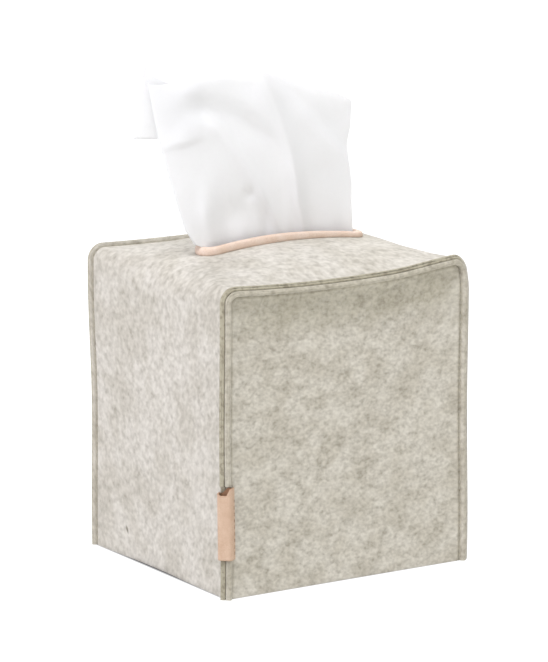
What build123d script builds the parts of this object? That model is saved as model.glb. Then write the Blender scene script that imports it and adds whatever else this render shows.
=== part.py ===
from build123d import *
import os
from math import cos, pi, radians, sin, tan

os.makedirs("parts", exist_ok=True)

# Sewn felt cover over an upright carton of tissues, with one tissue drawn through its slot.
# Millimetres. +X runs along the front panel, -Y is the front, +Z is up.
# The origin is on the table, under the middle of the cover.

# Felt cover
cover_width = 128.0        # between the outer faces of the left and right sides
cover_depth = 117.0        # between the outer faces of the front and back panels
cover_height = 142.0       # table to the outer face of the top, at the seams
felt_thickness = 3.0
top_bend_radius = 2.8      # inner face of the strip where it turns over the top
crown_height = 7.5         # rise of the top at the slot above the seams

# Outward seam: both layers turn out by half a right angle and meet on the diagonal
turn_radius = 5.0          # inner face of a layer where it turns out
seam_allowance = 2.7       # straight felt beyond the turn, up to the raw edge

# Slot and its leather binding
slot_margin = 21.0         # felt between each end of the slot and the side of the cover
slot_width = 11.0
leather_thickness = 1.2
binding_height = 4.0       # rolled lip above the felt
binding_roll = 2.4         # lip on top of the felt, measured out from the cut edge
binding_facing = 5.0       # leather under the felt, measured out from the cut edge
binding_bevel = 1.2        # along the two upper edges of the lip

# Tag folded round the front left seam
tag_height = 34.0
tag_bottom = 17.0
tag_fold_room = 0.8        # hollow between the raw edges and the strap across them

# Carton and its tissues
carton_height = 126.0
carton_wall = 0.6
carton_clearance = 1.5     # between the carton and the felt, each side
mouth_margin = 15.5        # card between each end of the mouth and the side of the carton
mouth_width = 34.0
stack_height = 92.0
stack_clearance = 1.0      # between the tissues and the carton, each side
stack_rounding = 4.0

# Drawn tissue: heights are over the outer face of the top, at the seams
sheet_thickness = 0.6
sheet_end_room = 1.0       # between the gathered sheet and each end of the bound slot
sheet_clearance = 0.3      # between its foremost fold and the binding that it leans on
free_edge_lean = 21.0      # left end of the free edge, out from the gathered part
free_edge_left = 85.5
free_edge_crest = 88.0
free_edge_right = 68.0
crest_place = -10.0        # along the slot
corner_width = 12.5        # loose corner that sticks out at the left
corner_top = 94.0
corner_bottom = 62.0
fold_depth_slot = 1.2      # half depth of the folds where the slot gathers them
fold_depth_top = 9.0       # half depth of the folds at the loose corner
fold_count = 2.0           # broad folds across the sheet
pleat_count = 5.0          # narrow pleats that ride on the broad folds
pleat_share = 0.3          # of the fold depth
fold_facets = 20           # creases across the sheet

# Sizes that follow
inner_half_width = cover_width / 2 - felt_thickness
inner_half_depth = cover_depth / 2 - felt_thickness
inner_height = cover_height - felt_thickness
diagonal = cos(radians(45))
turn_run = turn_radius * tan(radians(22.5))
seam_reach = turn_run + seam_allowance
slot_length = cover_width - 2 * slot_margin
carton_width = 2 * (inner_half_width - carton_clearance)
carton_depth = 2 * (inner_half_depth - carton_clearance)
mouth_length = carton_width - 2 * mouth_margin
gathered_width = slot_length - 2 * (leather_thickness + sheet_end_room)
sheet_forward = slot_width / 2 - leather_thickness - fold_depth_slot - sheet_clearance


def arch(plane, half_width, height, radius):
    """Face of an upright panel with rounded top corners, standing on the table."""
    with BuildSketch(plane) as face:
        with BuildLine():
            FilletPolyline(
                (-half_width, 0), (-half_width, height), (half_width, height), (half_width, 0),
                radius=radius,
            )
            Line((half_width, 0), (-half_width, 0))
        make_face()
    return face.sketch


def turned_edge(plane, of_panel):
    """Section of one felt layer at the seam, seen from above the front left corner.

    The strip runs in along the second axis and turns towards the first in two creases. The panel
    is its mirror image in the diagonal, so that the two layers meet face to face there.
    """
    def at(along, across):
        return (across, along) if of_panel else (along, across)

    def crease(radius):
        half_turn = radians(22.5)
        return at(turn_radius - radius * cos(half_turn), radius * sin(half_turn) - turn_run)

    bend_end = turn_run * diagonal
    edge_end = seam_reach * diagonal
    layer = felt_thickness * diagonal
    inner_start = at(0, -turn_run)
    inner_end = at(bend_end, bend_end)
    outer_start = at(felt_thickness, -turn_run)
    outer_end = at(bend_end + layer, bend_end - layer)
    inner_raw = at(edge_end, edge_end)
    outer_raw = at(edge_end + layer, edge_end - layer)
    with BuildSketch(plane) as face:
        with BuildLine():
            Polyline(inner_start, crease(turn_radius), inner_end, inner_raw, outer_raw,
                     outer_end, crease(turn_radius - felt_thickness), outer_start, close=True)
        make_face()
    return face.sketch


def crown_section(place, rise, bottom, top, half_depth):
    """Section of the crowned top, square to the slot, between two heights over its outer face."""
    low = cover_height + bottom
    high = cover_height + top
    with BuildSketch(Plane.YZ.offset(place)) as face:
        with BuildLine():
            Spline((-half_depth, low), (0, low + rise), (half_depth, low))
            Line((half_depth, low), (half_depth, high))
            Spline((half_depth, high), (0, high + rise), (-half_depth, high))
            Line((-half_depth, high), (-half_depth, low))
        make_face()
    return face.sketch


def crowned_layer(bottom, top):
    """Layer over the crowned top: flat at both bends and highest at the middle of the slot."""
    end = inner_half_width - top_bend_radius
    half_depth = inner_half_depth - turn_run
    with BuildPart() as layer:
        loft([crown_section(place, rise, bottom, top, half_depth)
              for place, rise in ((-end, 0), (0, crown_height), (end, 0))])
    return layer.part


def slot_ring(reach, inset):
    """Upright ring round the slot, from inside its cut edge to outside it."""
    with BuildPart() as ring:
        with BuildSketch(Plane.XY.offset(inner_height - felt_thickness)):
            SlotOverall(slot_length + 2 * reach, slot_width + 2 * reach)
            SlotOverall(slot_length - 2 * inset, slot_width - 2 * inset, mode=Mode.SUBTRACT)
        extrude(amount=cover_height)
    return ring.part


# Line along the inside corner of the front seam: up, over the top and down
with BuildLine(Plane.XZ.offset(inner_half_depth)) as seam_line:
    FilletPolyline(
        (-inner_half_width, 0), (-inner_half_width, inner_height),
        (inner_half_width, inner_height), (inner_half_width, 0),
        radius=top_bend_radius,
    )
seam_corner = Plane(
    origin=(-inner_half_width, -inner_half_depth, 0), x_dir=(-1, 0, 0), z_dir=(0, 0, 1)
)

# Felt strip: left side, top and right side in one length, with the slot cut in its top
with BuildPart() as felt_wrap:
    extrude(arch(Plane.XZ, cover_width / 2, cover_height, top_bend_radius + felt_thickness),
            amount=inner_half_depth - turn_run)
    extrude(arch(Plane.XZ, inner_half_width, inner_height, top_bend_radius),
            amount=inner_half_depth - turn_run, mode=Mode.SUBTRACT)
    with BuildSketch(Plane.XY.offset(inner_height)):
        Rectangle(2 * (inner_half_width - top_bend_radius), 2 * (inner_half_depth - turn_run))
    extrude(amount=felt_thickness, mode=Mode.SUBTRACT)
    sweep(turned_edge(seam_corner, of_panel=False), path=seam_line.wire())
    mirror(about=Plane.XZ)
    add(crowned_layer(-felt_thickness, 0))
    with BuildSketch(Plane.XY.offset(inner_height)):
        SlotOverall(slot_length, slot_width)
    extrude(amount=crown_height + felt_thickness, mode=Mode.SUBTRACT)
felt_wrap.part.label = "felt_wrap"
export_step(felt_wrap.part, "parts/felt_wrap.step")

# Front panel: flat felt with its left, top and right edges turned out into the seam
with BuildPart() as front_panel:
    extrude(arch(Plane.XZ.offset(inner_half_depth), inner_half_width - turn_run,
                 inner_height - turn_run, top_bend_radius - turn_run), amount=felt_thickness)
    sweep(turned_edge(seam_corner, of_panel=True), path=seam_line.wire())
front_panel.part.label = "front_panel"
export_step(front_panel.part, "parts/front_panel.step")

# Back panel: the same panel at the other edge of the strip
with BuildPart() as back_panel:
    mirror(front_panel.part, about=Plane.XZ)
back_panel.part.label = "back_panel"
export_step(back_panel.part, "parts/back_panel.step")

# Leather binding: facing under the felt, web over the cut edge and a rolled lip on top
web = crowned_layer(-felt_thickness, 0) & slot_ring(0, leather_thickness)
facing = (crowned_layer(-felt_thickness - leather_thickness, -felt_thickness)
          & slot_ring(binding_facing, leather_thickness))
with BuildPart() as slot_binding:
    add(crowned_layer(0, binding_height))
    add(slot_ring(binding_roll, leather_thickness), mode=Mode.INTERSECT)
    chamfer(slot_binding.faces().sort_by(Axis.Z)[-1].edges(), binding_bevel)
    add(web)
    add(facing)
slot_binding.part.label = "slot_binding"
export_step(slot_binding.part, "parts/slot_binding.step")

# Tag: strap folded round the raw edges of the front left seam, legs flat on the felt
tag_plane = Plane(
    origin=(-inner_half_width, -inner_half_depth, tag_bottom),
    x_dir=(-1, -1, 0), z_dir=(0, 0, 1),
)
leg_start = turn_run + leather_thickness / 2
fold_radius = tag_fold_room + leather_thickness / 2
strap_face = seam_reach + fold_radius
leg_face = felt_thickness + leather_thickness / 2
with BuildPart() as leather_tag:
    with BuildSketch(tag_plane):
        with BuildLine():
            FilletPolyline(
                (leg_start, leg_face), (strap_face, leg_face),
                (strap_face, -leg_face), (leg_start, -leg_face),
                radius=fold_radius,
            )
        trace(line_width=leather_thickness)
    extrude(amount=tag_height)
leather_tag.part.label = "leather_tag"
export_step(leather_tag.part, "parts/leather_tag.step")

# Carton: folded card with an oval mouth in its top
with BuildPart() as tissue_carton:
    with BuildSketch():
        Rectangle(carton_width, carton_depth)
    extrude(amount=carton_height)
    with BuildSketch(Plane.XY.offset(carton_wall)):
        Rectangle(carton_width - 2 * carton_wall, carton_depth - 2 * carton_wall)
    extrude(amount=carton_height - 2 * carton_wall, mode=Mode.SUBTRACT)
    with BuildSketch(Plane.XY.offset(carton_height - carton_wall)):
        SlotOverall(mouth_length, mouth_width)
    extrude(amount=carton_wall, mode=Mode.SUBTRACT)
tissue_carton.part.label = "tissue_carton"
export_step(tissue_carton.part, "parts/tissue_carton.step")

# Pile of folded tissues on the bottom of the carton
stack_inset = 2 * (carton_wall + stack_clearance)
stack_top = carton_wall + stack_height
with BuildPart() as tissue_stack:
    with BuildSketch(Plane.XY.offset(carton_wall)):
        RectangleRounded(carton_width - stack_inset, carton_depth - stack_inset, stack_rounding)
    extrude(amount=stack_height)
tissue_stack.part.label = "tissue_stack"
export_step(tissue_stack.part, "parts/tissue_stack.step")


def crease_row(height, half_left, half_right, depth):
    """Points along one level of the drawn tissue: broad folds with narrow pleats on them."""
    row = []
    for step in range(fold_facets + 1):
        share = step / fold_facets
        folds = (1 - pleat_share) * sin(2 * pi * fold_count * share)
        pleats = pleat_share * sin(2 * pi * pleat_count * share + 1)
        along = share * (half_left + half_right) - half_left
        row.append((along, depth * (folds + pleats) - sheet_forward, cover_height + height))
    return row


def creased_sheet(lower, upper):
    """Flat triangles between two levels of the sheet, two to each facet of its folds."""
    triangles = []
    for step in range(fold_facets):
        start, end = lower[step], lower[step + 1]
        start_above, end_above = upper[step], upper[step + 1]
        triangles.append(Face(Wire.make_polygon([start, end, end_above])))
        triangles.append(Face(Wire.make_polygon([start, end_above, start_above])))
    return triangles


# Drawn tissue: gathered in the slot, opening out in folds above it, cut to its outline
gathered = gathered_width / 2
lip_top = crown_height + binding_height
sheet_foot = stack_top - cover_height
spare = 4 * sheet_thickness
edge_slope = free_edge_lean / (free_edge_left - lip_top)
corner_root = gathered + edge_slope * (corner_bottom - lip_top)
edge_left = gathered + free_edge_lean
foot_row = crease_row(sheet_foot, gathered, gathered, fold_depth_slot)
lip_row = crease_row(lip_top, gathered, gathered, fold_depth_slot)
top_row = crease_row(corner_top, corner_root + corner_width + spare, gathered + spare,
                     fold_depth_top)
facets = creased_sheet(foot_row, lip_row) + creased_sheet(lip_row, top_row)
with BuildPart() as drawn_tissue:
    extrude(facets, amount=sheet_thickness, dir=(0, 1, 0))
    with BuildSketch(Plane(origin=(0, 0, cover_height), x_dir=(1, 0, 0), z_dir=(0, -1, 0))):
        with BuildLine():
            Polyline(
                (gathered, free_edge_right),
                (gathered + spare, lip_top),
                (gathered + spare, sheet_foot),
                (-gathered - spare, sheet_foot),
                (-gathered - spare, lip_top),
                (-corner_root, corner_bottom),
                (-corner_root - corner_width, corner_bottom),
                (-edge_left - corner_width / 2, corner_top),
                (-edge_left, free_edge_left),
            )
            Spline((-edge_left, free_edge_left), (crest_place, free_edge_crest),
                   (gathered, free_edge_right))
        make_face()
    extrude(amount=cover_depth / 2, both=True, mode=Mode.INTERSECT)
drawn_tissue.part.label = "drawn_tissue"
export_step(drawn_tissue.part, "parts/drawn_tissue.step")
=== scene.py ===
"""Felt tissue box cover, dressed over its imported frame.

The felt strip, the two panels, the leather round the slot, the leather tag, the sewing thread and
the drawn tissue are new meshes. The carton and the pile of tissues keep their solids and get a
finish. Lengths are in millimetres until a mesh is made, and meshes are in metres.
"""

import logging
import math
from dataclasses import dataclass
from enum import Enum
from typing import Callable, Sequence, Union

import bpy
import numpy as np
from mathutils import Matrix, Vector


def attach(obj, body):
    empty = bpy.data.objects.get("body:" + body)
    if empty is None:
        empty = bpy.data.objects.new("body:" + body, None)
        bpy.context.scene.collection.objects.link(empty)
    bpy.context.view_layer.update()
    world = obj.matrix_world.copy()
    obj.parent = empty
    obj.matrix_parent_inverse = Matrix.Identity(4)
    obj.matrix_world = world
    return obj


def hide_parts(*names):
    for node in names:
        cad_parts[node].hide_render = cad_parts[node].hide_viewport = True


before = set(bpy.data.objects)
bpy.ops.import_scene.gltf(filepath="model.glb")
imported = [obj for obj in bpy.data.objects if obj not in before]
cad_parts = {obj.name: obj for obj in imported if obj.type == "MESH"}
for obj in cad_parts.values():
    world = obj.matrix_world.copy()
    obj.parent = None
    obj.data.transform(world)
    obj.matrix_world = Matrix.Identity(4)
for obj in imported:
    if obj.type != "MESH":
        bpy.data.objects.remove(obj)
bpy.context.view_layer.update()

LOG = logging.getLogger("felt_cover")
MM = 0.001
BODY = "root"
DIAGONAL = math.sqrt(0.5)
TINY = 1e-6
# Edges that turn by more degrees than this stay crisp, unless a piece says otherwise.
SHARP = 50.0
# How far a wholly cut edge, or a place of full painted shade, takes the colour of the cut.
CUT_AND_SHADE_SHARE = 0.7
Colour = tuple[float, float, float, float]


class Side(Enum):
    """The panel or seam that is meant, as the sign of its y."""

    FRONT = -1.0
    BACK = 1.0


class Slot(Enum):
    """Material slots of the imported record."""

    FELT = "felt"
    LEATHER = "leather"
    TISSUE = "tissue"


def smooth(value: np.ndarray, low: float, high: float) -> np.ndarray:
    """Smooth step: 0 below low, 1 above high, 3t^2 - 2t^3 between them."""
    share = np.clip((value - low) / (high - low), 0.0, 1.0)
    return share * share * (3.0 - 2.0 * share)


def fade(value: np.ndarray, low: float, high: float) -> np.ndarray:
    """Smooth step down: 1 below low, 0 above high."""
    return 1.0 - smooth(value, low, high)


def parabola(value: np.ndarray, reach: float) -> np.ndarray:
    """Parabola of height 1 over 0, and 0 from reach outwards on both sides."""
    return np.clip(1.0 - (value / reach) ** 2, 0.0, 1.0)


def hump(distance: np.ndarray, width: float, power: float = 2.0) -> np.ndarray:
    """Rounded ridge: e to the minus |distance / width| to a power."""
    return np.exp(-np.abs(distance / width) ** power)


def circle(angle: np.ndarray) -> np.ndarray:
    """Unit directions at angles, one per row: cosine and sine."""
    return np.stack([np.cos(angle), np.sin(angle)], axis=1)


def resample(path: np.ndarray, pitch: float,
             probe: float = 0.4) -> tuple[np.ndarray, np.ndarray]:
    """Points at equal steps along a path, with the direction of travel at each.

    Args:
        path: Points along the path, one per row.
        pitch: Wanted step. The step used is the nearest that fits a whole number of times.
        probe: How far to each side the direction is taken.

    Returns:
        Middles of the steps and unit tangents there.
    """
    length = np.concatenate([[0.0], np.cumsum(np.linalg.norm(np.diff(path, axis=0), axis=1))])
    count = max(1, round(length[-1] / pitch))
    places = (np.arange(count) + 0.5) * length[-1] / count
    near = [np.stack([np.interp(places + step, length, axis) for axis in path.T], axis=1)
            for step in (-probe, 0.0, probe)]
    tangent = near[2] - near[0]
    return near[1], tangent / np.linalg.norm(tangent, axis=1, keepdims=True)


class MeshParts:
    """Collects index grids and points until they make one mesh."""

    def __init__(self) -> None:
        """Starts with no points and no faces."""
        self.points: list[np.ndarray] = []
        self.grain: list[np.ndarray] = []
        self.raw: list[np.ndarray] = []
        self.quads: list[np.ndarray] = []
        self.count = 0

    def grid(self, points: np.ndarray, raw: Union[np.ndarray, float] = 0.0,
             grain: Union[np.ndarray, None] = None) -> np.ndarray:
        """Adds the points of a grid without faces.

        Args:
            points: Grid of points, rows by columns by 3.
            raw: Share of cut colour at each point, which also carries painted shade, as a grid or as
                one number.
            grain: Places on the flat cloth, along it, across it and through it; the points
                themselves if left out.

        Returns:
            Grid of the points' indices.
        """
        shape = points.shape[:2]
        index = np.arange(shape[0] * shape[1]).reshape(shape) + self.count
        self.points.append(points.reshape(-1, 3))
        self.grain.append((points if grain is None else grain).reshape(-1, 3))
        self.raw.append(np.broadcast_to(raw, shape).reshape(-1))
        self.count += index.size
        return index

    def skin(self, index: np.ndarray, flip: bool = False) -> None:
        """Adds the quads between the neighbours of an index grid, turned over if asked."""
        quads = np.stack(
            [index[:-1, :-1], index[1:, :-1], index[1:, 1:], index[:-1, 1:]], axis=-1
        ).reshape(-1, 4)
        self.quads.append(quads[:, ::-1] if flip else quads)

    def band(self, first: np.ndarray, second: np.ndarray, axis: int, flip: bool = False) -> None:
        """Adds the quads between two lines of indices, as columns (axis 1) or rows (axis 0)."""
        self.skin(np.stack([first, second], axis=axis), flip)

    def slab(self, outer: np.ndarray, inner: np.ndarray, flip: bool = False) -> None:
        """Adds both faces of a sheet, its last long edge and its two short ends.

        Args:
            outer: Index grid of the outer face.
            inner: Index grid of the inner face, in the same order.
            flip: Whether every face is turned over.
        """
        self.skin(outer, flip)
        self.skin(inner, not flip)
        self.band(outer[:, -1], inner[:, -1], 1, flip)
        self.band(outer[0], inner[0], 0, flip)
        self.band(outer[-1], inner[-1], 0, not flip)

    def arrays(self) -> "MeshArrays":
        """Joins the parts, drops unused points and turns a closed shape outwards."""
        quads = np.concatenate(self.quads)
        used, quads = np.unique(quads, return_inverse=True)
        quads = quads.reshape(-1, 4)
        points = np.concatenate(self.points)[used]
        a, b, c, d = (points[quads[:, k]] for k in range(4))
        volume = np.einsum("ij,ij->i", a, np.cross(b, c) + np.cross(c, d)).sum()
        return MeshArrays(points, quads if volume > 0 else quads[:, ::-1],
                          np.concatenate(self.raw)[used], np.concatenate(self.grain)[used])


@dataclass
class MeshArrays:
    """One mesh in millimetres: points, four point numbers per face, share of cut colour with any
    painted shade, and grain per point.
    """

    points: np.ndarray
    quads: np.ndarray
    raw: np.ndarray
    grain: np.ndarray


def make_object(name: str, arrays: MeshArrays, material: bpy.types.Material,
                sharp: float = SHARP) -> bpy.types.Object:
    """Makes a smooth-shaded mesh object at the origin.

    Args:
        name: Name of the object.
        arrays: The mesh; its share of cut colour, with any painted shade, and its grain become the
            attributes cut_edge_and_shade and grain.
        material: Finish of the whole piece.
        sharp: Edges that turn by more than this many degrees stay crisp.

    Returns:
        The object, linked to the scene.
    """
    mesh = bpy.data.meshes.new(name)
    quads = arrays.quads
    mesh.vertices.add(len(arrays.points))
    mesh.vertices.foreach_set("co", (arrays.points * MM).astype(np.float32).ravel())
    mesh.loops.add(quads.size)
    mesh.loops.foreach_set("vertex_index", quads.astype(np.int32).ravel())
    mesh.polygons.add(len(quads))
    mesh.polygons.foreach_set("loop_start", np.arange(0, quads.size, 4, dtype=np.int32))
    mesh.polygons.foreach_set("use_smooth", np.ones(len(quads), dtype=bool))
    mesh.update(calc_edges=True)
    mesh.validate()
    mesh.set_sharp_from_angle(angle=math.radians(sharp))
    cut = mesh.attributes.new("cut_edge_and_shade", "FLOAT", "POINT")
    cut.data.foreach_set("value", arrays.raw.astype(np.float32))
    cloth = mesh.attributes.new("grain", "FLOAT_VECTOR", "POINT")
    cloth.data.foreach_set("vector", (arrays.grain * MM).astype(np.float32).ravel())
    mesh.materials.append(material)
    piece = bpy.data.objects.new(name, mesh)
    bpy.context.scene.collection.objects.link(piece)
    return piece


def mount(piece: bpy.types.Object, node: Union[str, None] = None) -> bpy.types.Object:
    """Ties a piece to the frame's body, hides the node it stands for, and returns it."""
    if node:
        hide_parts(node)
    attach(piece, BODY)
    LOG.info("%s: %d faces", piece.name, len(piece.data.polygons))
    return piece


def operator(operation: str, reflected: bool = False) -> Callable[["Value", "Number"], "Value"]:
    """Makes an operator of Value: a math node, with the other number first if reflected."""

    def method(self: "Value", other: "Number") -> "Value":
        """Result of the operation."""
        return self.shader.math(operation, *((other, self) if reflected else (self, other)))

    return method


class Value:
    """A node's output that takes part in Python arithmetic."""

    def __init__(self, shader: "Shader", socket: bpy.types.NodeSocket) -> None:
        """Keeps the socket and the node tree that it belongs to."""
        self.shader = shader
        self.socket = socket

    __add__, __radd__ = operator("ADD"), operator("ADD", reflected=True)
    __sub__, __rsub__ = operator("SUBTRACT"), operator("SUBTRACT", reflected=True)
    __mul__, __rmul__ = operator("MULTIPLY"), operator("MULTIPLY", reflected=True)

    def __abs__(self) -> "Value":
        """Size without its sign."""
        return self.shader.math("ABSOLUTE", self, 0.0)

    def step(self, low: float, high: float) -> "Value":
        """Smooth step from 0 at low to 1 at high."""
        made = self.shader.node(
            "ShaderNodeMapRange", {"interpolation_type": "SMOOTHSTEP"},
            {"Value": self, "From Min": low, "From Max": high},
        )
        return self.shader.out(made)


Number = Union[float, Value]


class Shader:
    """Node tree of one material."""

    def __init__(self, name: str) -> None:
        """Makes an empty material and its Object coordinates."""
        self.material = bpy.data.materials.new(name)
        self.material.use_nodes = True
        self.tree = self.material.node_tree
        self.tree.nodes.clear()
        self.place = self.out(self.node("ShaderNodeTexCoord", {}, {}), "Object")

    def node(self, kind: str, settings: dict[str, object],
             inputs: dict[Union[str, int], object]) -> bpy.types.Node:
        """Adds any node.

        Args:
            kind: Node type.
            settings: Properties of the node, set before its sockets.
            inputs: Numbers, colours or links for its sockets, by name or number.

        Returns:
            The node.
        """
        made = self.tree.nodes.new(kind)
        for name, value in settings.items():
            setattr(made, name, value)
        for key, value in inputs.items():
            if isinstance(value, Value):
                self.tree.links.new(value.socket, made.inputs[key])
            else:
                made.inputs[key].default_value = value
        return made

    def out(self, node: bpy.types.Node, key: Union[str, int] = 0) -> Value:
        """Output of a node, by name or number."""
        return Value(self, node.outputs[key])

    def math(self, operation: str, first: Number, second: Number) -> Value:
        """Math node on two numbers."""
        return self.out(self.node("ShaderNodeMath", {"operation": operation},
                                  {0: first, 1: second}))

    def noise(self, size: float, detail: float = 2.0, distortion: float = 0.0,
              place: Union[Value, None] = None, roughness: float = 0.5) -> Value:
        """Noise whose lumps are about size millimetres across."""
        made = self.node("ShaderNodeTexNoise", {}, {
            "Vector": place or self.place, "Scale": 1.0 / (size * MM), "Detail": detail,
            "Distortion": distortion, "Roughness": roughness,
        })
        return self.out(made, "Fac")

    def streaks(self, size: float, stretch: float, turn: tuple[float, float, float],
                distortion: float = 0.4, place: Union[Value, None] = None, detail: float = 2.0,
                roughness: float = 0.5) -> Value:
        """Noise drawn out along one direction, as fibres are.

        Args:
            size: Width of a streak in millimetres.
            stretch: Length over width.
            turn: Rotation of the direction, in radians about x, y and z.
            distortion: How much the streaks curl.
            place: Coordinates, if not the object's own.
            detail: How many finer sets are laid over the first, each half the size.
            roughness: Strength of each finer set over the one before.

        Returns:
            Values about a half, higher on the streaks.
        """
        turned = self.node("ShaderNodeMapping", {"vector_type": "TEXTURE"},
                           {"Vector": place or self.place, "Rotation": turn,
                            "Scale": (stretch, 1.0, 1.0)})
        return self.noise(size, detail, distortion, self.out(turned), roughness)

    def mix(self, share: Number, first: Union[Colour, Value], second: Union[Colour, Value]) -> Value:
        """Mix of two colours, from the first at 0 to the second at 1."""
        made = self.node("ShaderNodeMix", {"data_type": "RGBA"}, {0: share, 6: first, 7: second})
        return self.out(made, 2)

    def spot(self, centre: Sequence[float], half: Sequence[float], lean: float) -> Value:
        """Share of a small spot, an ellipsoid turned about x: 1 in its middle, 0 outside it.

        Args:
            centre: Its place on the object, in millimetres.
            half: Its half sizes, in millimetres.
            lean: Its turn about x, in radians.

        Returns:
            The share.
        """
        placed = self.node("ShaderNodeMapping", {"vector_type": "TEXTURE"}, {
            "Vector": self.place, "Location": [value * MM for value in centre],
            "Rotation": (lean, 0.0, 0.0), "Scale": [value * MM for value in half],
        })
        reach = self.node("ShaderNodeVectorMath", {"operation": "LENGTH"}, {0: self.out(placed)})
        return 1.0 - self.out(reach, "Value").step(0.3, 1.0)

    def bump(self, height: Value, depth: float, strength: float) -> Value:
        """Normal bent by a height whose full range is depth millimetres."""
        made = self.node("ShaderNodeBump", {}, {
            "Height": height, "Distance": depth * MM, "Strength": strength,
        })
        return self.out(made)

    def attribute(self, name: str, key: str) -> Value:
        """What the mesh keeps at each point, as a number (Fac) or a place (Vector)."""
        return self.out(self.node("ShaderNodeAttribute", {"attribute_name": name}, {}), key)

    def cut_edge_and_shade(self) -> Value:
        """Share of the cut edge's colour, from the mesh, which also carries painted shade."""
        return self.attribute("cut_edge_and_shade", "Fac") * CUT_AND_SHADE_SHARE

    def surface(self, inputs: dict[str, object]) -> Value:
        """Principled surface with these sockets set."""
        return self.out(self.node("ShaderNodeBsdfPrincipled", {}, inputs))

    def finish(self, surface: Value) -> bpy.types.Material:
        """Links the surface to the output and returns the material."""
        self.node("ShaderNodeOutputMaterial", {}, {"Surface": surface})
        return self.material


@dataclass(frozen=True)
class FeltFinish:
    """Pressed wool: pale fibres with darker flecks of every size among them, along the cloth."""

    name: str = "felt_melange"
    pale: Colour = (0.680, 0.644, 0.560, 1.0)
    warm: Colour = (0.630, 0.590, 0.500, 1.0)
    dark: Colour = (0.150, 0.128, 0.086, 1.0)
    cut: Colour = (0.445, 0.412, 0.305, 1.0)
    mottle_size: float = 2.6
    fleck_size: float = 1.5
    cloud_size: float = 12.0
    fibre_width: float = 0.5
    fibre_turns: tuple[float, float, float] = (0.1, -0.6, 1.2)
    tuft_size: float = 2.2
    nap_size: float = 1.3
    nap_depth: float = 0.5
    mottle_share: float = 0.30
    heavy_share: float = 0.13
    fleck_share: float = 0.15
    fibre_share: float = 0.03
    cloud_share: float = 0.08
    contrast: float = 1.0
    cut_shares: tuple[float, float, float] = (0.6, 0.10, 0.36)
    speck_share: float = 0.95
    speck: tuple = ()
    speck_half: tuple[float, float, float] = (4.0, 1.4, 3.2)
    speck_lean: float = -0.45

    def material(self) -> bpy.types.Material:
        """Dark share is a rough mottle, flecks, three sets of thin streaks for fibres, and clouds.

        Returns:
            The felt.
        """
        shader = Shader(self.name)
        cloth = shader.attribute("grain", "Vector")
        mottle = shader.streaks(self.mottle_size, 1.15, (0.0, 0.0, 0.1), 0.2, cloth, 2.0, 0.6)
        flecks = shader.streaks(self.fleck_size, 1.3, (0.0, 0.0, -0.3), 0.2, cloth, 0.0)
        clouds = shader.streaks(self.cloud_size, 1.3, (0.0, 0.0, 0.3), 0.2, cloth, 3.0)
        sets = [shader.streaks(self.fibre_width, 6.0, (0.3, 0.2, turn), 0.8, cloth)
                for turn in self.fibre_turns]
        fibres = sum(one.step(0.52, 0.78) for one in sets)
        share = mottle.step(0.28, 0.74) * self.mottle_share
        share = share + flecks.step(0.28, 0.76) * self.fleck_share + fibres * self.fibre_share
        share = share + mottle.step(0.58, 0.80) * self.heavy_share
        share = share + clouds.step(0.40, 0.66) * self.cloud_share
        ground = shader.mix(clouds.step(0.36, 0.64), self.pale, self.warm)
        melange = shader.mix(share * self.contrast, ground, self.dark)
        if self.speck:
            fibre = shader.spot(self.speck, self.speck_half, self.speck_lean)
            melange = shader.mix(fibre * self.speck_share, melange, self.dark)
        tufts = shader.noise(self.tuft_size, 2.0, 0.4).step(0.46, 0.64)
        of_melange, of_fibres, of_tufts = self.cut_shares
        cut_edge = shader.mix(share * of_melange + fibres * of_fibres + tufts * of_tufts,
                              self.cut, self.dark)
        nap = sets[0] + sets[1] + sets[2] + flecks + shader.noise(self.nap_size, 3.0) * 1.5
        return shader.finish(shader.surface({
            # The cut colour's share also lays painted shade under the panels' top rim and in the sewn
            # groove.
            "Base Color": shader.mix(shader.cut_edge_and_shade(), melange, cut_edge),
            "Roughness": 0.95,
            "Specular IOR Level": 0.15,
            "Sheen Weight": 0.2,
            "Sheen Roughness": 0.5,
            "Normal": shader.bump(nap, self.nap_depth, 0.15),
        }))


@dataclass(frozen=True)
class LeatherFinish:
    """Undyed vegetable tanned leather: fine grain, pale and matte, browner at its cut edges."""

    name: str = "leather_undyed"
    pale: Colour = (0.800, 0.656, 0.550, 1.0)
    tan: Colour = (0.738, 0.572, 0.457, 1.0)
    cut: Colour = (0.330, 0.180, 0.100, 1.0)
    grain_size: float = 0.55

    def material(self) -> bpy.types.Material:
        """Grain is the distance to the cell edges of a Voronoi pattern, over soft blotches.

        Returns:
            The leather.
        """
        shader = Shader(self.name)
        cells = shader.out(shader.node("ShaderNodeTexVoronoi", {"feature": "DISTANCE_TO_EDGE"}, {
            "Vector": shader.place, "Scale": 1.0 / (self.grain_size * MM), "Randomness": 1.0,
        }), "Distance")
        blotches = shader.noise(6.0, 4.0, 0.5)
        pores = shader.noise(0.25, 2.0)
        creases = cells.step(0.0, 0.16)
        colour = shader.mix(blotches.step(0.3, 0.72), self.pale, self.tan)
        grained = shader.mix((1.0 - creases) * 0.22, colour, self.cut)
        return shader.finish(shader.surface({
            # On the tag, the cut colour's share also darkens a leaf inside the fold, as painted shade.
            "Base Color": shader.mix(shader.cut_edge_and_shade(), grained, self.cut),
            "Roughness": 0.52 + blotches * 0.22,
            "Specular IOR Level": 0.35,
            "Normal": shader.bump(creases * 0.8 + pores * 0.3, 0.12, 0.5),
        }))


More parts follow.
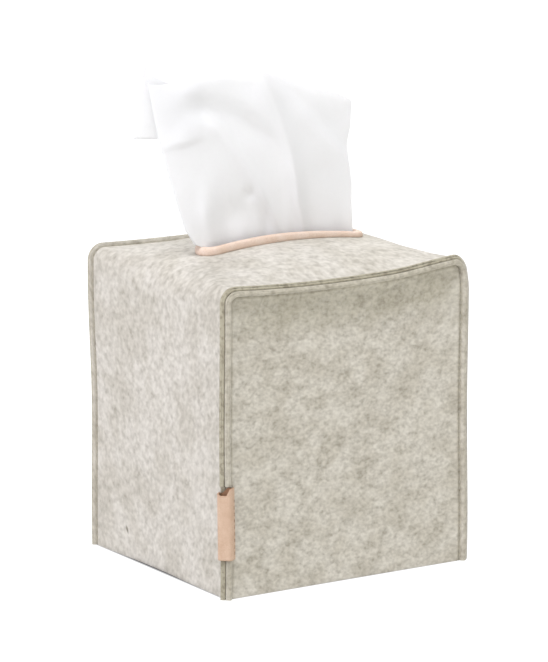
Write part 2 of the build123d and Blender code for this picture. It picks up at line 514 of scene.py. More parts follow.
@dataclass(frozen=True)
class ThreadFinish:
    """Twisted sewing thread."""

    name: str
    light: Colour
    shade: Colour
    twist: float = 0.35

    def material(self) -> bpy.types.Material:
        """Two tones of fibre, streaked at the size of the yarn's twist.

        Returns:
            The thread.
        """
        shader = Shader(self.name)
        plies = shader.streaks(self.twist, 3.0, (0.6, 0.7, 0.8))
        return shader.finish(shader.surface({
            "Base Color": shader.mix(plies.step(0.35, 0.65), self.shade, self.light),
            "Roughness": 0.7,
            "Sheen Weight": 0.2,
            "Normal": shader.bump(plies, 0.08, 0.5),
        }))


@dataclass(frozen=True)
class TissueFinish:
    """Soft creped tissue that lets some light through."""

    name: str = "tissue_creped"
    white: Colour = (0.985, 0.985, 0.985, 1.0)
    thin: Colour = (0.955, 0.955, 0.952, 1.0)
    see_through: float = 0.50

    def material(self) -> bpy.types.Material:
        """Crepe is noise drawn out across the sheet, over a finer pulp noise.

        Returns:
            The tissue.
        """
        shader = Shader(self.name)
        crepe = shader.streaks(0.5, 9.0, (0.0, 0.0, 0.0), 0.3)
        pulp = shader.noise(1.6, 4.0)
        colour = shader.mix(pulp.step(0.4, 0.75) * 0.6, self.white, self.thin)
        normal = shader.bump(crepe + pulp * 0.6, 0.10, 0.25)
        face = shader.surface({
            "Base Color": colour,
            "Roughness": 0.9,
            "Specular IOR Level": 0.1,
            "Sheen Weight": 0.15,
            "Normal": normal,
        })
        through = shader.node("ShaderNodeBsdfTranslucent", {}, {"Color": self.white})
        both = shader.node("ShaderNodeMixShader", {}, {
            0: self.see_through, 1: face, 2: shader.out(through),
        })
        return shader.finish(shader.out(both))


@dataclass(frozen=True)
class PileFinish:
    """Edges of many folded tissues, lying on each other."""

    name: str = "tissue_pile"
    white: Colour = (0.90, 0.90, 0.895, 1.0)
    # Painted shade in the gaps between the sheets.
    gap: Colour = (0.66, 0.66, 0.65, 1.0)
    sheet: float = 1.1

    def material(self) -> bpy.types.Material:
        """Level bands by height, waved by noise, stand for the sheets' folded edges; the darker bands
        are painted shade in the gaps between the sheets.

        Returns:
            The pile.
        """
        shader = Shader(self.name)
        layers = shader.out(shader.node(
            "ShaderNodeTexWave", {"wave_type": "BANDS", "bands_direction": "Z"},
            {"Vector": shader.place, "Scale": 1.0 / (self.sheet * MM * 6.4), "Distortion": 1.6,
             "Detail": 2.0, "Detail Scale": 0.6}), "Fac")
        pulp = shader.noise(1.8, 4.0)
        return shader.finish(shader.surface({
            "Base Color": shader.mix(layers.step(0.7, 1.0) * 0.8, self.white, self.gap),
            "Roughness": 0.9,
            "Specular IOR Level": 0.1,
            "Normal": shader.bump(1.0 - layers + pulp * 0.4, 0.4, 0.6),
        }))


@dataclass(frozen=True)
class CardFinish:
    """White-lined folding board."""

    name: str = "carton_board"
    white: Colour = (0.84, 0.83, 0.80, 1.0)
    pulp: Colour = (0.70, 0.67, 0.61, 1.0)
    pulp_share: float = 0.35

    def material(self) -> bpy.types.Material:
        """Flecks and short fibres of pulp over a faint mottle.

        Returns:
            The board.
        """
        shader = Shader(self.name)
        mottle = shader.noise(9.0, 4.0)
        flecks = shader.streaks(0.5, 5.0, (0.4, 0.8, 0.2)).step(0.62, 0.74)
        share = mottle.step(0.35, 0.8) * self.pulp_share + flecks * self.pulp_share
        return shader.finish(shader.surface({
            "Base Color": shader.mix(share, self.white, self.pulp),
            "Roughness": 0.55 + mottle * 0.25,
            "Specular IOR Level": 0.3,
            "Normal": shader.bump(mottle + flecks * 0.3, 0.15, 0.3),
        }))


@dataclass(frozen=True)
class CoverForm:
    """Sizes that the cover's pieces share, and how the soft felt settles.

    A place near a seam is given by two offsets from the line along the inside corner: out from
    the strip, and out from the panel. A span holds the two ends of a smooth step.
    """

    half_width: float = 61.0
    half_depth: float = 55.5
    height: float = 139.0
    felt: float = 3.0
    bend_radius: float = 2.8
    soft_radius: float = 11.0
    turn_radius: float = 5.0
    seam_allowance: float = 2.7
    edge_round: float = 0.75
    edge_gap: float = 0.05
    layer_gap: float = 0.07
    squeeze: float = 0.45
    pressed_steps: tuple[float, float] = (2.0, 8.0)
    groove: float = 1.15
    groove_width: float = 0.9
    sewn_step: float = 6.25
    side_rows: int = 44
    bend_turns: int = 12
    slot_half_length: float = 42.0
    slot_half_width: float = 5.5
    slot_shift: float = 1.5
    bend_rise: float = 2.4
    lip_rise: float = 7.2
    rim_sag: float = 2.0
    side_bow: float = 1.1
    corner_flare: float = 1.2
    trim_share: float = 0.8
    trim_span: tuple[float, float] = (19.8, 51.8)
    trim_ends: tuple[float, float] = (1.5, 1.2)
    crown_inset: float = 9.0
    crown_depth: float = 22.0
    margin: float = 14.0
    shoulder: float = 70.0
    bow_top: float = 115.0
    lean_span: tuple[float, float] = (4.0, 3.0)
    right_flare: float = 2.0
    right_lift: float = 1.2
    left_lean: float = 1.0
    rim_lean: float = 2.4
    rim_hollow: float = 0.3
    ripple: float = 0.3
    # Painted light: how much of their cut colour the right seams' raw edges lose, and over what span.
    right_painted_light: float = 0.6
    right_light_span: tuple[float, float] = (1.0, 2.5)

    @property
    def turn_run(self) -> float:
        """Length of the turn along the flat felt."""
        return self.turn_radius * math.tan(math.radians(22.5))

    @property
    def top_half(self) -> float:
        """Half the flat stretch of the top between its two bends, where they are softest."""
        return self.half_width - self.soft_radius

    @property
    def slot_straight(self) -> float:
        """Half the straight stretch of the slot, between its round ends."""
        return self.slot_half_length - self.slot_half_width

    def arch(self, rows: int, turns: int, across: np.ndarray,
             radius: float) -> tuple[np.ndarray, np.ndarray]:
        """Line of the strip's inner face: up the left, round, along the top, round and down.

        Args:
            rows: Even steps up each side, to which the heights round the trimmed stretch are added.
            turns: Steps round each bend.
            across: Places along the flat of the top, left to right.
            radius: Radius of both bends.

        Returns:
            Points and outward normals, each as rows of x and z.
        """
        low, high = self.trim_span
        before, beyond = self.trim_ends
        close = np.concatenate([low + np.linspace(-before, 0.0, 4),
                                high + np.linspace(-2.0, beyond, 7)])
        up = np.union1d(np.linspace(0.0, self.height - radius, rows + 1), close)
        angle = np.linspace(np.pi, np.pi / 2, turns + 1)[1:-1]
        normal_left = circle(angle)
        centre = np.array([radius - self.half_width, self.height - radius])
        side = np.stack([np.full_like(up, -self.half_width), up], axis=1)
        reach = (self.half_width - radius) / self.top_half
        top = np.stack([across * np.where(np.abs(across) < self.top_half - TINY, 1.0, reach),
                        np.full_like(across, self.height)], axis=1)
        bend = centre + radius * normal_left
        mirrored = np.array([-1.0, 1.0])
        points = np.concatenate([side, bend, top, bend[::-1] * mirrored, side[::-1] * mirrored])
        flat = np.tile([-1.0, 0.0], (len(up), 1))
        normals = np.concatenate([
            flat, normal_left, np.tile([0.0, 1.0], (len(across), 1)),
            normal_left[::-1] * mirrored, flat * mirrored,
        ])
        return points, normals

    def turned_edge(self, tint: float = 1.0) -> tuple[np.ndarray, np.ndarray, np.ndarray]:
        """Section of a felt layer where it turns out into the seam.

        From the flat felt it follows an arc of an eighth of a turn, then a straight stretch on
        the diagonal, then a rounded corner up to the middle of the cut edge. The thread pulls a
        narrow groove, with the section of a bell curve, into the outer line; the groove takes
        the full colour of cut felt as painted shade.

        Args:
            tint: How strongly the cut edge shows the colour of cut felt.

        Returns:
            Outer line and inner line as rows of the two offsets, and the share of cut felt,
            with painted shade in the sewn groove.
        """
        angle = np.linspace(np.pi, 0.75 * np.pi, 7)
        ring = circle(angle)
        centre = np.array([self.turn_radius, -self.turn_run])
        along = np.array([DIAGONAL, DIAGONAL])
        inward = np.array([-DIAGONAL, DIAGONAL])
        straight = np.linspace(0.0, self.seam_allowance - self.edge_round, 4)[1:, None] * along
        swing = np.linspace(0.0, np.pi / 2, 6)[1:, None]

        def line(radius: float, face: np.ndarray, lift: float) -> np.ndarray:
            """One face of the layer, from the flat to the middle of the cut edge."""
            arc = centre + radius * ring
            run = arc[-1] + straight
            pivot = run[-1] - face * self.edge_round
            corner = pivot + self.edge_round * (face * np.cos(swing) + along * np.sin(swing))
            middle = corner[-1] - face * (self.felt / 2 - self.edge_round - self.edge_gap)
            points = np.concatenate([arc, run, corner, middle[None]])
            points -= face * lift * smooth(np.arange(len(points)), *self.pressed_steps)[:, None]
            return points

        outer = line(self.turn_radius - self.felt, -inward, self.squeeze)
        inner = line(self.turn_radius, inward, self.layer_gap)
        sewn = hump(np.arange(len(outer)) - self.sewn_step, self.groove_width)
        outer += inward * self.groove * sewn[:, None]
        cut = np.concatenate([np.zeros(8), [0.1, 0.35, 0.7, 0.9, 1.0, 1.0, 1.0, 1.0]])
        # The groove's full cut colour is painted shade in the seam's valley.
        return outer, inner, np.maximum(cut * tint, sewn)

    def painted_light_right(self, cut: np.ndarray, x: np.ndarray) -> np.ndarray:
        """Share of cut felt by the place across: the raw edges of the right seams are painted paler, as
        painted light from the right.
        """
        start, end = self.right_light_span
        return cut * (1.0 - self.right_painted_light * smooth(x, self.half_width + start, self.half_width + end))

    def trimmed(self, points: np.ndarray) -> np.ndarray:
        """Draws the raw edges of the front left seam in where the tag folds round them.

        Past the turn, the way out along the corner's diagonal is shortened by a share that is
        full between two heights, which leaves a hollow that shows above the tag.

        Args:
            points: Places on the straight cover, in a grid of any shape.

        Returns:
            The places, moved along the diagonal.
        """
        x, y, z = np.moveaxis(points, -1, 0)
        reach = (-x - self.half_width - y - self.half_depth) * DIAGONAL
        low, high = self.trim_span
        before, beyond = self.trim_ends
        level = smooth(z, low - before, low) * fade(z, high, high + beyond)
        back = self.trim_share * level * np.clip(reach - self.turn_run, 0.0, None) * DIAGONAL
        return points + np.stack([back, back, np.zeros_like(back)], axis=-1)

    def settle(self, points: np.ndarray) -> np.ndarray:
        """Moves points of the straight cover to where the soft felt comes to rest.

        The top rises to the slot as a parabola across the depth, the seams' top edges sag as a
        parabola and lean out over a shallow hollow in the panels, the front one's right end lifts,
        the sides bow in towards the table, the left back seam flares at its top, the front seams
        lean to their sides, and a slow ripple runs over all of it.

        Args:
            points: Places on the straight cover, in a grid of any shape.

        Returns:
            Places on the settled cover.
        """
        x, y, z = np.moveaxis(points, -1, 0)
        wide, deep, top = self.half_width, self.half_depth, self.height
        reach = deep - self.turn_run
        inside, outside = self.lean_span
        middle = np.cos(0.5 * np.pi * np.clip(np.abs(y) / reach, 0.0, 1.0)) ** 2
        belly = parabola(x, wide)
        high = smooth(z, self.shoulder, top)
        slope = (self.lip_rise - self.bend_rise) * parabola(x, wide - self.crown_inset)
        up = parabola(y, reach) * (self.bend_rise + slope) * smooth(z, top - self.crown_depth, top)
        up = up - self.rim_sag * belly * smooth(np.abs(y), reach - self.margin, reach) * high
        front_rim = smooth(-y, reach - self.margin, reach) * smooth(z, 100.0, top)
        up = up + self.right_lift * smooth(x, 22.0, 56.0) * front_rim
        side = smooth(np.abs(x), wide - self.margin, wide)
        out = -np.sign(x) * self.side_bow * middle * fade(z, 0.0, self.bow_top) * side
        out = out - self.corner_flare * high * smooth(y, 5.0, deep) * smooth(-x, 25.0, 60.0)
        right_seam = smooth(x, wide - inside, wide + outside) * smooth(-y, reach - 6.0, deep)
        out = out + self.right_flare * right_seam * fade(z, top - 12.0, top + 4.0)
        left_seam = smooth(-x, wide - inside, wide + outside) * smooth(-y, reach - 4.0, deep + 3.0)
        out = out - self.left_lean * left_seam
        panel = smooth(np.abs(y), reach - 6.0, reach)
        lean = self.rim_lean * smooth(z, top - 5.0, top + 3.0)
        lean = lean - self.rim_hollow * hump(z - (top - 15.0), 11.0)
        ripple = self.ripple * np.sin(z / 17.0 + 0.7) * side * np.sin(y / 13.0 + 0.4)
        sway = self.ripple * np.sin(x / 19.0 + 1.1) * np.sin(z / 23.0 + 0.5) * panel
        return np.stack([x + out + ripple, y + sway + np.sign(y) * belly * panel * lean, z + up],
                        axis=-1)


@dataclass
class FeltWrap:
    """Felt strip up the left side, over the top and down the right side, with its slot."""

    form: CoverForm
    finish: bpy.types.Material
    columns: int = 26
    soft_to: float = 14.0
    carding: tuple[float, float, float] = (0.85, 0.68, 1.0)
    edge_tint: float = 1.35

    def across(self) -> np.ndarray:
        """Places along the top, close together round the ends of the slot."""
        straight = self.form.slot_straight
        swing = np.sin(np.linspace(0.0, np.pi / 2, 9)[1:]) * self.form.slot_half_width
        sides = []
        for sign in (-1.0, 1.0):
            end = self.form.top_half - sign * self.form.slot_shift
            half = np.concatenate([
                np.linspace(0.0, straight, 19), straight + swing,
                np.linspace(self.form.slot_half_length, end, 4)[1:],
            ])
            sides.append(self.form.slot_shift + sign * half)
        return np.concatenate([sides[0][:0:-1], sides[1]])

    def slot_edge(self, path: np.ndarray) -> np.ndarray:
        """Half width of the slot beside each point of the strip's line, 0 where it is whole."""
        along = np.abs(path[:, 0] - self.form.slot_shift)
        beyond = np.clip(along - self.form.slot_straight, 0.0, None)
        half = np.sqrt(np.clip(self.form.slot_half_width ** 2 - beyond ** 2, 0.0, None))
        on_top = (path[:, 1] >= self.form.height - TINY) & (half > 1e-4)
        return np.where(on_top, half, 0.0)

    def half(self, parts: MeshParts, side: Side, twin: Union[tuple, None]) -> tuple:
        """Adds one half of the strip, from the slot to one seam.

        A point is the strip's line, plus the section's offset along the line's normal, with y
        from the edge of the slot out to the cut edge of the seam. The line is a blend of one
        with soft bends, in the middle of the strip, and one with tight bends, at the seam. The
        grain is the place on the flat strip, drawn out by the carding's three factors.

        Args:
            parts: Mesh under way.
            side: Which seam the half runs to.
            twin: Index grids of the other half, whose middle line this half shares.

        Returns:
            Index grids of the outer and the inner face.
        """
        form = self.form
        steps = (form.side_rows, form.bend_turns, self.across())
        path, normal = form.arch(*steps, form.bend_radius)
        soft, soft_normal = form.arch(*steps, form.soft_radius)
        gap = self.slot_edge(path)
        outer, inner, cut = form.turned_edge(self.edge_tint)
        flat_end = form.half_depth - form.turn_run
        share = np.linspace(0.0, 1.0, self.columns)[:-1]
        flat = gap[:, None] + (flat_end - gap[:, None]) * share
        grids = []
        for line, level in ((outer, form.felt), (inner, 0.0)):
            lift = np.concatenate([np.full(len(share), level), line[:, 0]])
            depth = np.concatenate(
                [flat, np.tile(form.half_depth + line[:, 1], (len(path), 1))], axis=1)
            ease = fade(depth, self.soft_to, flat_end)[..., None]
            spot = (1 - ease) * (path[:, None] + lift[None, :, None] * normal[:, None]) + ease * (
                soft[:, None] + lift[None, :, None] * soft_normal[:, None])
            points = np.stack([spot[..., 0], side.value * depth, spot[..., 1]], axis=-1)
            settled = form.settle(form.trimmed(points))
            raw = np.concatenate([np.zeros(len(share)), cut])
            lengths = np.linalg.norm(np.diff(spot, axis=0), axis=2)
            along = np.concatenate([np.zeros((1, len(lift))), np.cumsum(lengths, axis=0)])
            grain = np.stack([along - along[len(path) // 2], points[..., 1],
                              np.broadcast_to(lift, depth.shape)], axis=-1) * self.carding
            # The right seam's raw edges are painted paler here, as painted light.
            grids.append(parts.grid(settled, form.painted_light_right(raw, points[..., 0]), grain))
        whole = gap == 0.0
        if twin:
            for grid, other in zip(grids, twin):
                grid[whole, 0] = other[whole, 0]
        outside, inside = grids
        flip = side is Side.BACK
        parts.slab(outside, inside, flip)
        open_rows = np.flatnonzero(~whole)
        cut_rows = np.arange(open_rows[0] - 1, open_rows[-1] + 2)
        parts.band(inside[cut_rows, 0], outside[cut_rows, 0], 1, flip)
        return outside, inside

    def build(self) -> bpy.types.Object:
        """Makes both halves, joined along the middle on each side of the slot."""
        parts = MeshParts()
        front = self.half(parts, Side.FRONT, None)
        self.half(parts, Side.BACK, front)
        return mount(make_object("felt_strip", parts.arrays(), self.finish), "felt_wrap")


@dataclass
class FeltPanel:
    """Front or back felt panel, its left, top and right edges turned out into the seam."""

    form: CoverForm
    finish: bpy.types.Material
    side: Side
    columns: int = 40
    # Painted shade under the top rim: its strength, where it starts and ends below the top, and where
    # it halves at the sides.
    rim_shade_share: float = 0.75
    rim_shade_span: tuple[float, float] = (23.0, 10.0)
    rim_shade_sides: tuple[float, float] = (52.0, 62.0)
    edge_tint: float = 0.7

    def rim_shade(self, points: np.ndarray) -> np.ndarray:
        """Share of painted shade under the top rim, in the colour of cut felt: a smooth step up to the
        rim.
        """
        start, end = (self.form.height - below for below in self.rim_shade_span)
        beside = smooth(np.abs(points[..., 0]), *self.rim_shade_sides)
        return self.rim_shade_share * smooth(points[..., 2], start, end) * (1.0 - beside * 0.5)

    def field(self, rim: np.ndarray, index: np.ndarray, parts: MeshParts) -> np.ndarray:
        """Fills the panel inside its turned rim with a grid.

        Each point blends the left, right, lower and upper border: the two sums of opposite
        borders, less the blend of the four corners.

        Args:
            rim: Points along the rim, from the lower left corner up, over and down.
            index: Indices of those points.
            parts: Mesh under way.

        Returns:
            Index grid of the panel, whose border is the rim.
        """
        last = len(rim) - 1
        corner = (last + 1 - self.columns) // 2 - self.form.bend_turns // 2
        left, right = rim[:corner + 1], rim[last:last - corner - 1:-1]
        upper = rim[corner:last - corner + 1]

        def travelled(line: np.ndarray) -> np.ndarray:
            """Share of the line's length up to each point."""
            steps = np.linalg.norm(np.diff(line, axis=0), axis=1)
            return np.concatenate([[0.0], np.cumsum(steps)]) / steps.sum()

        a, b = travelled(upper)[None, :, None], travelled(left)[:, None, None]
        lower = left[0] + (right[0] - left[0]) * a[0]
        points = (
            (1 - a) * left[:, None] + a * right[:, None] + (1 - b) * lower[None] + b * upper[None]
            - (1 - a) * (1 - b) * left[0] - a * (1 - b) * right[0]
            - (1 - a) * b * upper[0] - a * b * upper[-1]
        )
        # The field's share of cut colour is the painted shade under the top rim.
        grid = parts.grid(points, self.rim_shade(points), points[..., [0, 2, 1]])
        grid[:, 0] = index[:corner + 1]
        grid[:, -1] = index[last:last - corner - 1:-1]
        grid[-1] = index[corner:last - corner + 1]
        return grid

    def build(self) -> bpy.types.Object:
        """Makes the turned rim along the seam's line and fills both faces inside it."""
        form = self.form
        across = np.linspace(-form.top_half, form.top_half, self.columns)
        path, normal = form.arch(form.side_rows, form.bend_turns, across, form.bend_radius)
        outer, inner, cut = form.turned_edge(self.edge_tint)
        parts = MeshParts()
        grids, fields = [], []
        for line in (outer, inner):
            spot = path[:, None] + line[None, :, 1, None] * normal[:, None]
            depth = np.broadcast_to(form.half_depth + line[:, 0], spot.shape[:2])
            points = np.stack([spot[..., 0], self.side.value * depth, spot[..., 1]], axis=-1)
            # Cut colour on the turned edge, paler at the right seam as painted light, with the painted
            # shade under the top rim laid over it.
            raw = np.maximum(form.painted_light_right(cut, points[..., 0]), self.rim_shade(points))
            grids.append(parts.grid(points, raw, points[..., [0, 2, 1]]))
            fields.append(self.field(points[:, 0], grids[-1][:, 0], parts))
        parts.slab(*grids)
        parts.skin(fields[0], flip=True)
        parts.skin(fields[1])
        parts.band(fields[0][0], fields[1][0], 0, flip=True)
        arrays = parts.arrays()
        arrays.points = form.settle(form.trimmed(arrays.points))
        end = self.side.name.lower()
        return mount(make_object(f"felt_panel_{end}", arrays, self.finish), f"{end}_panel")


@dataclass
class SlotBinding:
    """Leather rolled over the edge of the slot: lip on top, web in the cut, facing below."""

    form: CoverForm
    finish: bpy.types.Material
    lip_height: float = 3.6
    lip_reach: float = 2.4
    thickness: float = 1.2
    facing: float = 5.0
    taper: float = 0.3
    lip_power: float = 0.72
    lip_foot: float = 1.3
    bevel: float = 0.3
    seat: float = 0.02
    mid_run: float = 1.5
    sharp: float = 60.0

    def section(self) -> np.ndarray:
        """Closed section as rows of offset out from the cut edge and height over the felt.

        The lip is an ellipse arc on a short upright foot; the rest are straight runs.
        """
        middle = (self.lip_reach - self.thickness) / 2
        half = (self.lip_reach + self.thickness) / 2
        swing = np.linspace(0.0, np.pi, 15)
        lip = np.stack([
            middle + half * np.sign(np.cos(swing)) * np.abs(np.cos(swing)) ** self.lip_power,
            self.lip_foot + (self.lip_height - self.lip_foot) * np.sin(swing) ** self.lip_power,
        ], axis=1)
        felt, web, bevel, run = -self.form.felt, -self.thickness, self.bevel, self.mid_run
        below, under = felt - self.thickness, felt - self.seat
        runs = np.array([
            [web, 0.0], [web, felt], [web, below + bevel], [web + bevel, below], [run, below],
            [self.facing - bevel, below], [self.facing, below + bevel], [self.facing, under],
            [run, under], [0.0, under], [-self.seat, -run], [-self.seat, self.seat], [1.2, 0.03],
            [self.lip_reach - bevel, 0.05], [self.lip_reach - 0.05, 0.4],
        ])
        return np.concatenate([lip, runs])

    def outline(self) -> tuple[np.ndarray, np.ndarray]:
        """Edge of the slot as closed rows of x and y, with outward normals."""
        straight = self.form.slot_straight
        run = np.linspace(-straight, straight, 56)
        swing = np.linspace(-np.pi / 2, np.pi / 2, 18)[1:-1]
        ring = circle(swing)
        down = np.tile([0.0, -1.0], (len(run), 1))
        normals = np.concatenate([down, ring, -down, -ring])
        spine = np.concatenate([
            np.stack([run, np.zeros_like(run)], axis=1), np.tile([straight, 0.0], (len(ring), 1)),
            np.stack([-run, np.zeros_like(run)], axis=1), np.tile([-straight, 0.0], (len(ring), 1)),
        ])
        edge = spine + self.form.slot_half_width * normals
        return edge + np.array([self.form.slot_shift, 0.0]), normals

    def build(self) -> bpy.types.Object:
        """Carries the section round the slot, lower at the right, and rests it on the settled top."""
        edge, normal = self.outline()
        section = self.section()
        flat = edge[:, None] + section[None, :, 0, None] * normal[:, None]
        low = 1.0 - self.taper * smooth(edge[:, :1], -15.0, 45.0)
        top = self.form.height + self.form.felt
        level = top + np.where(section[:, 1] > 0, low, 1.0) * section[:, 1]
        points = np.concatenate([flat, level[..., None]], axis=-1)
        under = np.array(points)
        under[..., 2] = top
        rise = self.form.settle(under) - under
        parts = MeshParts()
        index = parts.grid(points + rise)
        ring = np.concatenate([index, index[:1]], axis=0)
        parts.skin(np.concatenate([ring, ring[:, :1]], axis=1))
        piece = make_object("slot_leather", parts.arrays(), self.finish, self.sharp)
        return mount(piece, "slot_binding")


@dataclass
class LeatherTag:
    """Strap of leather folded round the raw edges of the front left seam."""

    form: CoverForm
    finish: bpy.types.Material
    bottom: float = 18.8
    tall: float = 30.2
    thickness: float = 1.0
    fold_room: float = 0.8
    edge_round: float = 0.35
    leg_rise: float = 3.2
    # A dark leaf inside the fold, coloured as cut leather, paints shade into the hollow above the
    # strap: its thickness, inset, span and darkness.
    shade_leaf_thickness: float = 0.5
    shade_leaf_inset: float = 0.9
    shade_leaf_span: tuple[float, float] = (-2.1, 2.3)
    shade_leaf_darkness: float = 1.4
    plain_rows: int = 14

    def spine(self) -> tuple[np.ndarray, np.ndarray]:
        """Middle line of the strap seen from above: a leg, two rounded corners and the other leg.

        Returns:
            Rows of offset out along the seam and across it, with normals away from the seam.
        """
        face = self.form.felt - self.form.squeeze + self.thickness / 2
        radius = self.fold_room + self.thickness / 2
        start = self.form.turn_run + self.thickness / 2
        end = self.form.turn_run + self.form.seam_allowance
        leg = np.linspace(start, end, 6)[:-1]
        swing = np.linspace(np.pi / 2, 0.0, 9)
        ring = circle(swing)
        bend = np.array([end, face - radius]) + radius * ring
        strap = np.linspace(face - radius, 0.0, 6)[1:-1]
        up = np.tile([0.0, 1.0], (len(leg), 1))
        ahead = np.tile([1.0, 0.0], (len(strap), 1))
        half = np.concatenate([
            np.stack([leg, np.full_like(leg, face)], axis=1), bend,
            np.stack([np.full_like(strap, end + radius), strap], axis=1),
        ])
        normal = np.concatenate([up, ring, ahead])
        mirrored = np.array([1.0, -1.0])
        middle = np.array([[end + radius, 0.0]])
        line = np.concatenate([half, middle, half[::-1] * mirrored])
        return line, np.concatenate([normal, ahead[:1], normal[::-1] * mirrored])

    def world(self, out: np.ndarray, across: np.ndarray, level: np.ndarray) -> np.ndarray:
        """Points from offsets along the diagonal of the front left corner, across it, and up."""
        return np.stack([
            -self.form.half_width - DIAGONAL * out + DIAGONAL * across,
            -self.form.half_depth - DIAGONAL * out - DIAGONAL * across,
            level,
        ], axis=-1)

    def painted_shade_leaf(self, parts: MeshParts) -> None:
        """Adds a dark leaf inside the fold, in the colour of cut leather: painted shade in the hollow
        above the strap.

        It is a flat leaf behind the strap; its top edge climbs towards the panel as a smooth step.

        Args:
            parts: Mesh under way.
        """
        reach = self.form.turn_run + self.form.seam_allowance - self.shade_leaf_inset
        across = np.linspace(*self.shade_leaf_span, 9)[:, None]
        top = self.tall + 0.5 + (self.leg_rise - 0.4) * smooth(across, -1.8, 1.6)
        level = self.bottom + 1.0 + (top - 1.0) * np.linspace(0.0, 1.0, 16)
        ring = np.array([0.0, self.shade_leaf_thickness])
        leaf = np.stack(np.broadcast_arrays(reach - ring[:, None, None], across, level), axis=-1)
        points = self.world(leaf[..., 0], leaf[..., 1], leaf[..., 2])
        # The leaf's nearly full cut colour is painted shade.
        front, back = (parts.grid(face, self.shade_leaf_darkness) for face in self.form.settle(points))
        parts.slab(front, back)
        parts.band(front[:, 0], back[:, 0], 1, flip=True)

    def build(self) -> bpy.types.Object:
        """Carries the strap's upright section, with rounded edges, along its folded line.

        The legs reach higher than the strap, most on the panel, by smooth steps across it.
        """
        line, normal = self.spine()
        swing = np.linspace(0.0, np.pi / 2, 5)
        rise = self.edge_round * (1.0 - np.cos(swing))
        proud = self.thickness / 2 - self.edge_round * (1.0 - np.sin(swing))
        plain = np.linspace(1.0, self.tall - 1.0, self.plain_rows)
        level = np.concatenate([rise, plain, self.tall - rise[::-1]])
        thick = np.concatenate([proud, np.full(len(plain), self.thickness / 2), proud[::-1]])
        worn = np.linspace(1.0, 0.3, len(swing))
        edge = np.concatenate([worn, np.zeros(len(plain)), worn[::-1]])
        leg = line[:, 1:]
        higher = self.leg_rise * (smooth(leg, 0.9, 2.9) + 0.25 * smooth(-leg, 1.6, 3.0))
        tall = self.bottom + level + higher * level / self.tall
        parts = MeshParts()
        grids = []
        for sign in (1.0, -1.0):
            spot = line[:, None] + sign * thick[None, :, None] * normal[:, None]
            points = self.world(spot[..., 0], spot[..., 1], tall)
            grids.append(parts.grid(self.form.settle(points), edge[None, :]))
        parts.slab(*grids)
        parts.band(grids[0][:, 0], grids[1][:, 0], 1, flip=True)
        self.painted_shade_leaf(parts)
        return mount(make_object("seam_tag", parts.arrays(), self.finish), "leather_tag")


